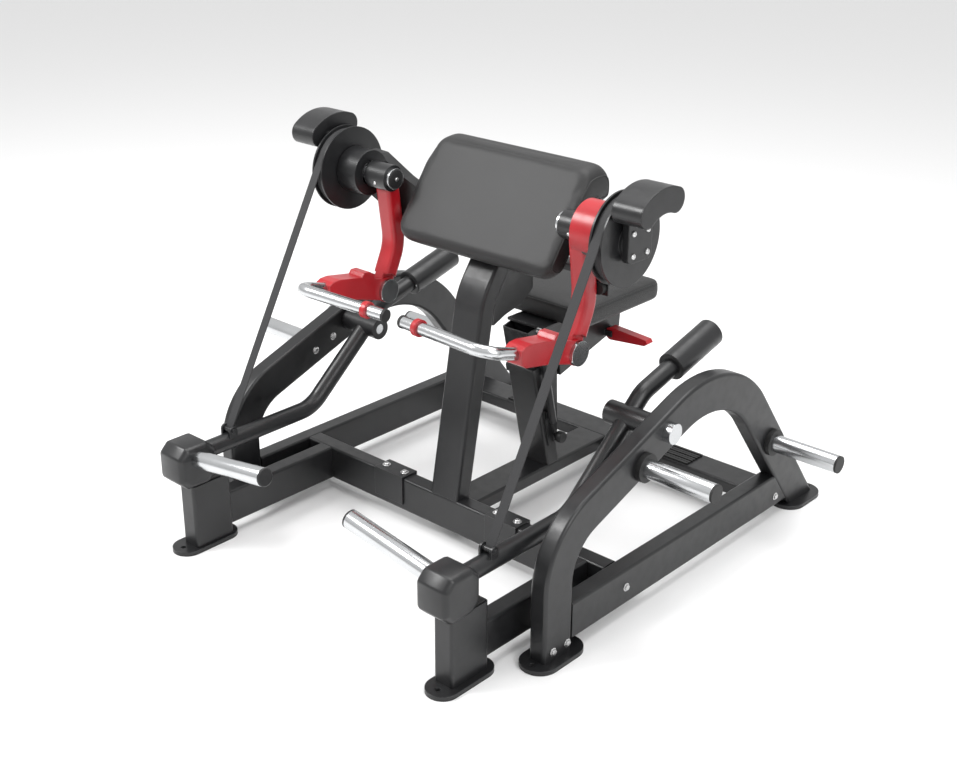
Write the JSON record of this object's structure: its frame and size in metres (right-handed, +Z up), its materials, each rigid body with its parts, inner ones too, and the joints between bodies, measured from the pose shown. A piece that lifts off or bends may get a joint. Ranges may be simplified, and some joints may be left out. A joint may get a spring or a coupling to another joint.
{
  "type": "plate-loaded seated arm curl machine",
  "caption": "Plate-loaded preacher curl machine: red arms with chrome handles turn cams whose belts lift weight arms, with a sloping arm pad, a sliding seat and plate storage horns.",
  "frame": {"origin": "on the floor under the centre of the machine's bounding box", "axes": "+Z up, +Y from the weight-plate end towards the seat, +X to the side with the red bearing guard"},
  "size_m": [1.622, 1.5198, 1.094],
  "materials": {
    "frame_paint": "satin charcoal powder coat",
    "red_paint": "satin red powder coat",
    "chrome": "bright chrome plate",
    "steel": "turned steel",
    "rubber": "matt black moulded rubber",
    "hide": "dark grey synthetic upholstery over foam",
    "webbing": "fabric-faced drive belt"
  },
  "bodies": {
    "frame": {"side_rails": "frame_paint", "front_cross_tube": "frame_paint", "rear_cross_tube": "frame_paint", "center_beam": "frame_paint", "front_stands": "frame_paint", "left_arch": "frame_paint", "right_arch": "frame_paint", "foot_plates": "frame_paint", "rubber_pads": "rubber", "splice_brackets": "frame_paint", "footrest_grips": "rubber", "main_post": "frame_paint", "pad_plate": "frame_paint", "arm_pad": "hide", "left_yoke": "frame_paint", "right_yoke": "frame_paint", "pivot_bearings": "steel", "rubber_bumpers": "rubber", "storage_horns": "chrome", "horn_fittings": "rubber", "seat_post": "frame_paint", "gas_strut_body": "frame_paint", "frame_bolts": "chrome", "arch_pivot_pins": "chrome", "right_pivot_guard": "red_paint"},
    "seat": {"seat_carriage": "frame_paint", "seat_bracket": "frame_paint", "seat_pad": "hide", "gas_strut_rod": "chrome"},
    "seat_lever": {"seat_lever": "red_paint"},
    "left_curl": {"left_axle": "chrome", "left_hub_sleeve": "frame_paint", "left_arm": "red_paint", "left_cam": "frame_paint", "left_counterweight": "frame_paint", "left_cam_bolts": "chrome"},
    "left_handle": {"left_handle_carrier": "red_paint", "left_handle_tube": "chrome", "left_handle_cap": "rubber", "left_wrist_discs": "chrome"},
    "left_weight": {"left_weight_arm": "frame_paint", "left_weight_hub": "frame_paint", "left_weight_horn": "chrome", "left_counterbalance": "frame_paint"},
    "left_belt": {"left_belt": "webbing"},
    "right_curl": {"right_axle": "chrome", "right_hub_sleeve": "frame_paint", "right_arm": "red_paint", "right_cam": "frame_paint", "right_counterweight": "frame_paint", "right_cam_bolts": "chrome"},
    "right_handle": {"right_handle_carrier": "red_paint", "right_handle_tube": "chrome", "right_handle_cap": "rubber", "right_wrist_discs": "chrome"},
    "right_weight": {"right_weight_arm": "frame_paint", "right_weight_hub": "frame_paint", "right_weight_horn": "chrome", "right_counterbalance": "frame_paint"},
    "right_belt": {"right_belt": "webbing"}
  },
  "joints": [
    {"name": "seat_height", "type": "slide", "parent": "frame", "child": "seat", "axis": [0, -0.225, 0.9744], "range_m": [-0.03, 0.1]},
    {"name": "seat_lever_pull", "type": "hinge", "parent": "seat", "child": "seat_lever", "pos_m": [0.073, 0.434, 0.453], "axis": [0, -1, 0], "range_deg": [0, 15], "stiffness_Nm_per_rad": 3, "springref_deg": -14.32},
    {"name": "left_curl", "type": "hinge", "parent": "frame", "child": "left_curl", "pos_m": [-0.4, -0.087, 0.947], "axis": [-1, 0, 0], "range_deg": [0, 120]},
    {"name": "left_handle_tilt", "type": "hinge", "parent": "left_curl", "child": "left_handle", "pos_m": [-0.337, -0.106, 0.631], "axis": [1, 0, 0], "range_deg": [-25, 30]},
    {"name": "left_weight_swing", "type": "hinge", "parent": "frame", "child": "left_weight", "pos_m": [-0.475, -0.036, 0.466], "axis": [-1, 0, 0], "range_deg": [0, 29.2]},
    {"name": "left_belt_sway", "type": "hinge", "parent": "frame", "child": "left_belt", "pos_m": [-0.477, -0.087, 0.947], "axis": [-1, 0, 0], "range_deg": [0, 14.1], "deforming": ["left_belt"]},
    {"name": "right_curl", "type": "hinge", "parent": "frame", "child": "right_curl", "pos_m": [0.4, -0.087, 0.947], "axis": [-1, 0, 0], "range_deg": [0, 120]},
    {"name": "right_handle_tilt", "type": "hinge", "parent": "right_curl", "child": "right_handle", "pos_m": [0.337, -0.106, 0.631], "axis": [1, 0, 0], "range_deg": [-25, 30]},
    {"name": "right_weight_swing", "type": "hinge", "parent": "frame", "child": "right_weight", "pos_m": [0.475, -0.036, 0.466], "axis": [-1, 0, 0], "range_deg": [0, 29.2]},
    {"name": "right_belt_sway", "type": "hinge", "parent": "frame", "child": "right_belt", "pos_m": [0.477, -0.087, 0.947], "axis": [-1, 0, 0], "range_deg": [0, 14.1], "deforming": ["right_belt"]}
  ],
  "couplings": [
    {"joint": "left_weight_swing", "follows": "left_curl", "ratio": 0.2417},
    {"joint": "left_belt_sway", "follows": "left_curl", "ratio": 0.116},
    {"joint": "right_weight_swing", "follows": "right_curl", "ratio": 0.2417},
    {"joint": "right_belt_sway", "follows": "right_curl", "ratio": 0.116}
  ]
}
